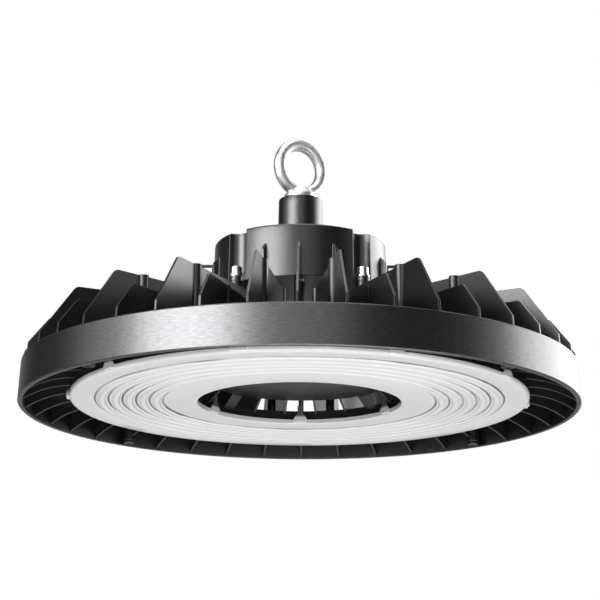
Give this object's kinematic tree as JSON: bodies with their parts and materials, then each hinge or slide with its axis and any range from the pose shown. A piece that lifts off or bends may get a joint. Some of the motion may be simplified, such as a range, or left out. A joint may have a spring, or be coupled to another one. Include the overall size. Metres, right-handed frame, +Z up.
{
  "type": "high bay light",
  "caption": "Round LED high bay light: finned ring heat sink with a plain band, ridged ring lens with an open centre, raised round driver housing and a lifting eye.",
  "frame": {"origin": "on the axis of the light, at the lower edge of the band", "axes": "+Z up through the lifting eye, -Y the front, +Y the side with the cable gland"},
  "size_m": [0.35, 0.35, 0.1796],
  "materials": {
    "heat_sink": "satin black powder coat on die-cast aluminium",
    "led_board": "white solder resist on an aluminium core",
    "leds": "phosphor under silicone",
    "board_terminal": "moulded white",
    "small_screws": "bright stainless",
    "lens": "diffusing polycarbonate, glossy",
    "gaskets": "silicone, matt",
    "driver_housing": "fine textured black powder coat on die-cast aluminium",
    "cap_screws": "bright stainless",
    "driver_cover": "satin black powder coat",
    "lead_tube": "black polyamide",
    "driver_board": "green solder resist",
    "board_spacers": "natural polyamide",
    "transformer": "yellow tape over windings",
    "capacitors": "sleeved",
    "choke": "enamelled wire on a core",
    "input_terminal": "moulded green",
    "heat_spreader": "mill finish",
    "gland": "black polyamide",
    "eye_bolt": "bright zinc plate on forged steel"
  },
  "bodies": {
    "root": {"heat_sink_band": "heat_sink", "heat_sink_base": "heat_sink", "heat_sink_hub": "heat_sink", "heat_sink_ribs": "heat_sink", "heat_sink_columns": "heat_sink", "tall_fins": "heat_sink", "short_fins": "heat_sink", "led_board": "led_board", "leds": "leds", "board_terminal": "board_terminal", "board_screws": "small_screws", "lens": "lens", "lens_gasket_outer": "gaskets", "lens_gasket_inner": "gaskets", "rim_screws": "small_screws", "driver_housing": "driver_housing", "cap_screws": "cap_screws", "spring_washers": "cap_screws", "flat_washers": "cap_screws", "driver_cover": "driver_cover", "housing_gasket": "gaskets", "cover_screws": "small_screws", "lead_tube": "lead_tube", "driver_board": "driver_board", "board_spacers": "board_spacers", "transformer": "transformer", "capacitors": "capacitors", "choke": "choke", "input_terminal": "input_terminal", "heat_spreader": "heat_spreader", "cable_gland": "gland", "gland_nut": "gland", "gland_seal": "gaskets", "eye_bolt": "eye_bolt"}
  },
  "joints": []
}
